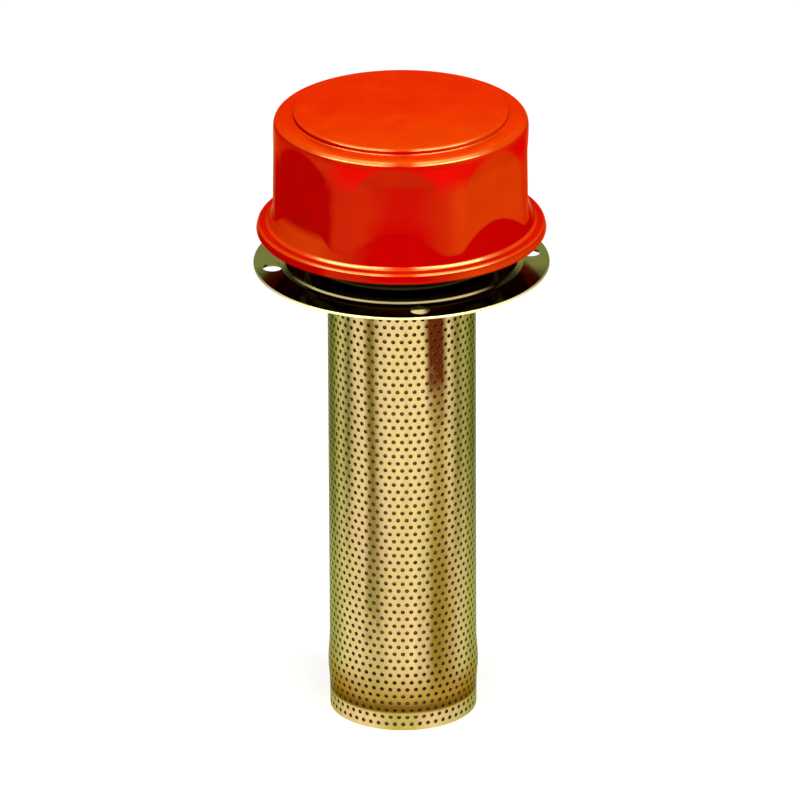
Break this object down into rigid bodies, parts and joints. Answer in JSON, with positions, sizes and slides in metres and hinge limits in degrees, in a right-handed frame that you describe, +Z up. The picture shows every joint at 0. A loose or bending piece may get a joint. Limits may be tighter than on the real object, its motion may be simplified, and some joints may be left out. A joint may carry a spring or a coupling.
{
  "type": "hydraulic filler breather",
  "caption": "Tank filler breather: faceted bayonet cap with an air element inside, pressed flange with a drawn neck, and a long perforated strainer basket.",
  "frame": {"origin": "centre of the tank mounting face, on the underside of the flange gasket", "axes": "+Z up along the breather's axis, from the tank towards the cap; the four screw holes lie on the X and Y axes"},
  "size_m": [0.083, 0.083, 0.1811],
  "materials": {
    "red_plastic": "glossy moulded",
    "passivated_steel": "yellow zinc passivated",
    "plain_steel": "zinc plated",
    "brass": "turned",
    "black_rubber": "matte",
    "felt": "felt",
    "filter_paper": "pleated",
    "spring_steel": "oiled",
    "wire_gauze": "woven wire, oil stained"
  },
  "bodies": {
    "base": {"flange_plate": "passivated_steel", "bayonet_ring": "passivated_steel", "flange_gasket": "black_rubber", "strainer_collar": "passivated_steel", "strainer_tube": "passivated_steel", "strainer_bottom": "passivated_steel", "strainer_gauze": "wire_gauze"},
    "seal_carrier": {"seal_plate": "plain_steel", "cap_seal": "black_rubber", "felt_seal": "felt", "element_bottom_cap": "plain_steel", "element_core": "plain_steel", "pleated_paper": "filter_paper", "element_top_cap": "plain_steel"},
    "cap": {"cap_cover": "red_plastic", "threaded_insert": "brass", "spacer_sleeve": "plain_steel", "bayonet_strip": "plain_steel", "spring_washer": "spring_steel", "centre_screw": "plain_steel", "seal_spring": "spring_steel"}
  },
  "joints": [
    {"name": "cap_lift", "type": "slide", "parent": "base", "child": "seal_carrier", "axis": [0, 0, 1], "range_m": [0, 0.06]},
    {"name": "cap_turn", "type": "hinge", "parent": "seal_carrier", "child": "cap", "pos_m": [0, 0, 0.0136], "axis": [0, 0, -1], "range_deg": [0, 68]}
  ]
}
